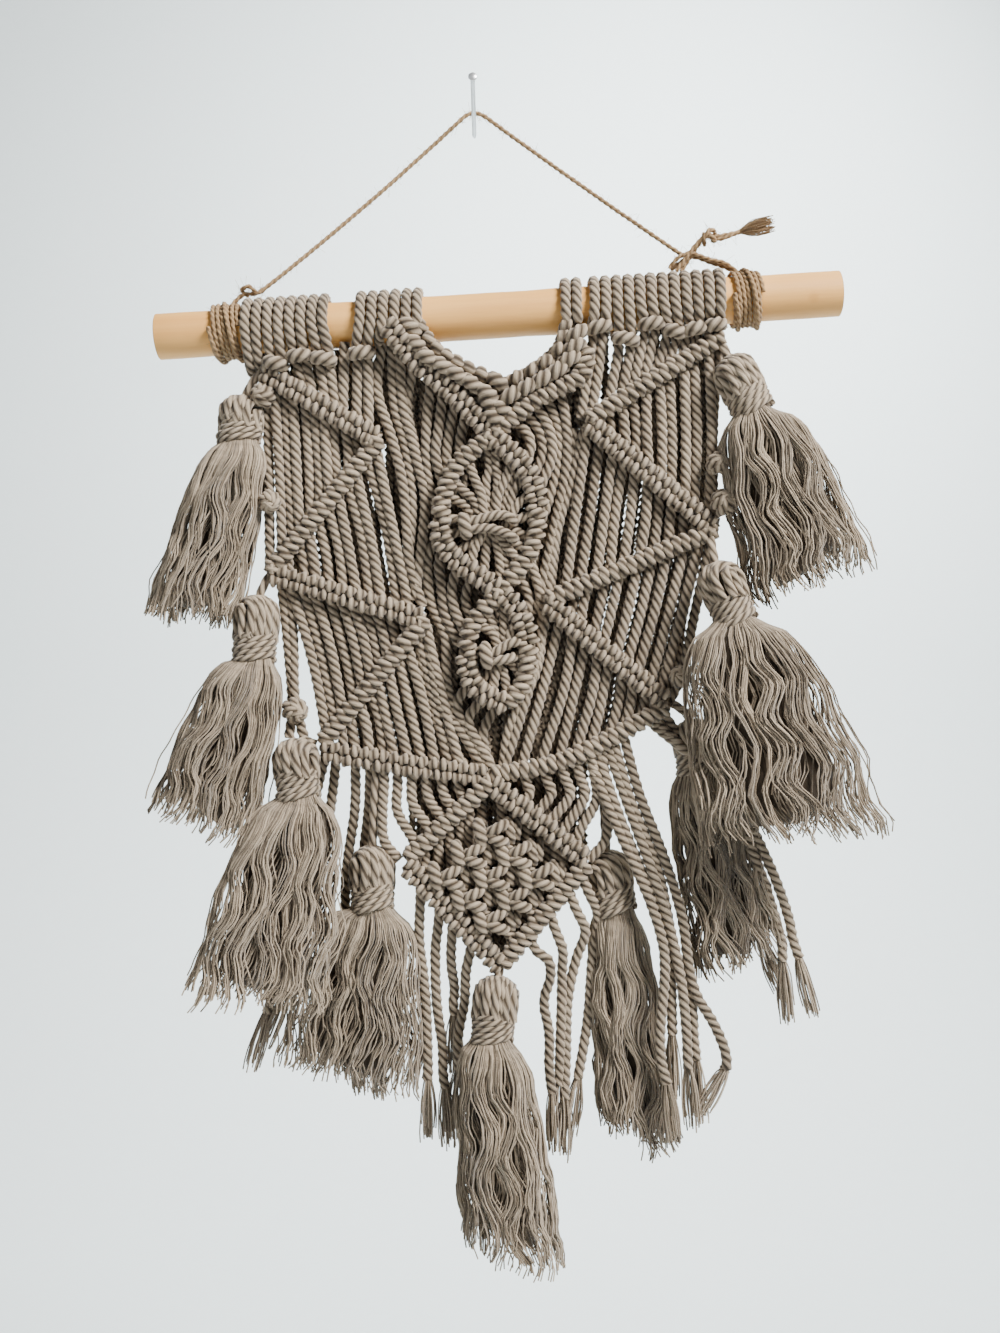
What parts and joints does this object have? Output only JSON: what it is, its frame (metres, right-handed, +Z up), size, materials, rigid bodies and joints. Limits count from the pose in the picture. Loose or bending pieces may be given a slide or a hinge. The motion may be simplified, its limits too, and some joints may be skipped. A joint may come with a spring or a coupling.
{
  "type": "macrame wall hanging with its rod and nail",
  "caption": "knotted cotton rope panel with hitched zigzag bars, a diamond and tied tassels, on a round wooden rod hung by jute twine from a nail",
  "frame": {"origin": "where the nail enters the wall, on the wall's plane", "axes": "+Z up, +Y into the wall, +X to the right of a viewer; the front faces -Y, and the rod's right end is about 3.7 degrees higher than its left"},
  "size_m": [0.3132, 0.0684, 0.5123],
  "materials": {
    "cotton_rope": "matt twisted cotton rope, taupe",
    "twine": "matt hairy jute twine, golden brown",
    "rod": "pale sanded birch, unvarnished",
    "nail": "bright zinc-plated wire nail"
  },
  "bodies": {
    "root": {"rod": "rod", "nail": "nail", "hanging_twine": "twine", "lashing_left": "twine", "lashing_right": "twine", "net": "cotton_rope", "lower_fringe": "cotton_rope", "diamond": "cotton_rope", "diamond_fringe": "cotton_rope", "tassel_left_top": "cotton_rope", "tassel_left_middle": "cotton_rope", "tassel_left_low": "cotton_rope", "tassel_left_inner": "cotton_rope", "tassel_bottom": "cotton_rope", "tassel_right_top": "cotton_rope", "tassel_right_middle": "cotton_rope", "tassel_right_low": "cotton_rope", "tassel_right_inner": "cotton_rope"}
  },
  "joints": []
}
